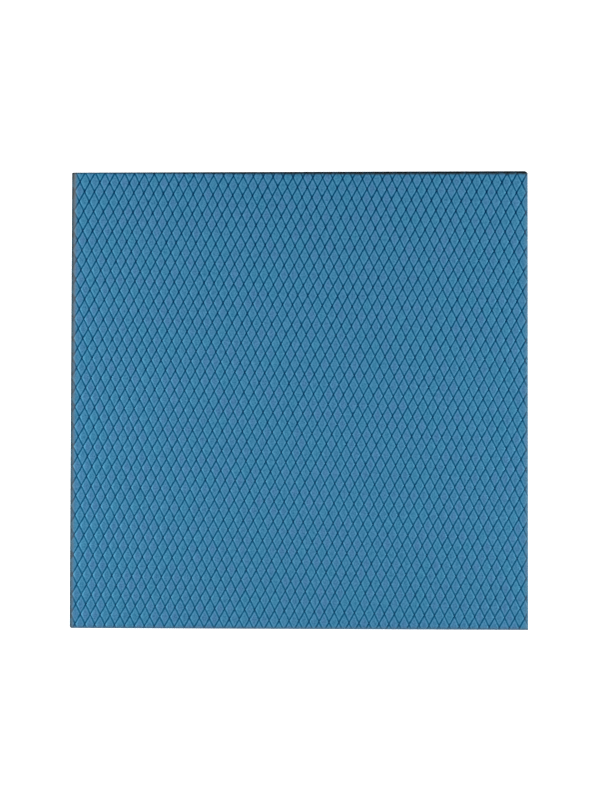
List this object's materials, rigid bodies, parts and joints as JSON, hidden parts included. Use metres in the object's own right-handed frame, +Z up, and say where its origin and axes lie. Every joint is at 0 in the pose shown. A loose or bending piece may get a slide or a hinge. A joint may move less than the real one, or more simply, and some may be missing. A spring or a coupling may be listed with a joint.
{
  "type": "thermal pad sheet",
  "caption": "Flat square sheet of soft blue silicone thermal pad with a diamond embossed upper face, cut to size to fill the gap between a warm chip and its heatsink.",
  "frame": {"origin": "middle of the sheet's underside, on the surface that it lies on", "axes": "+Z up through the sheet's thickness, +X to the right and +Y to the far edge as the picture shows it from above"},
  "size_m": [0.1, 0.1, 0.001],
  "materials": {
    "blue_silicone": "satin, finely diamond embossed"
  },
  "bodies": {
    "root": {"thermal_pad": "blue_silicone"}
  },
  "joints": []
}
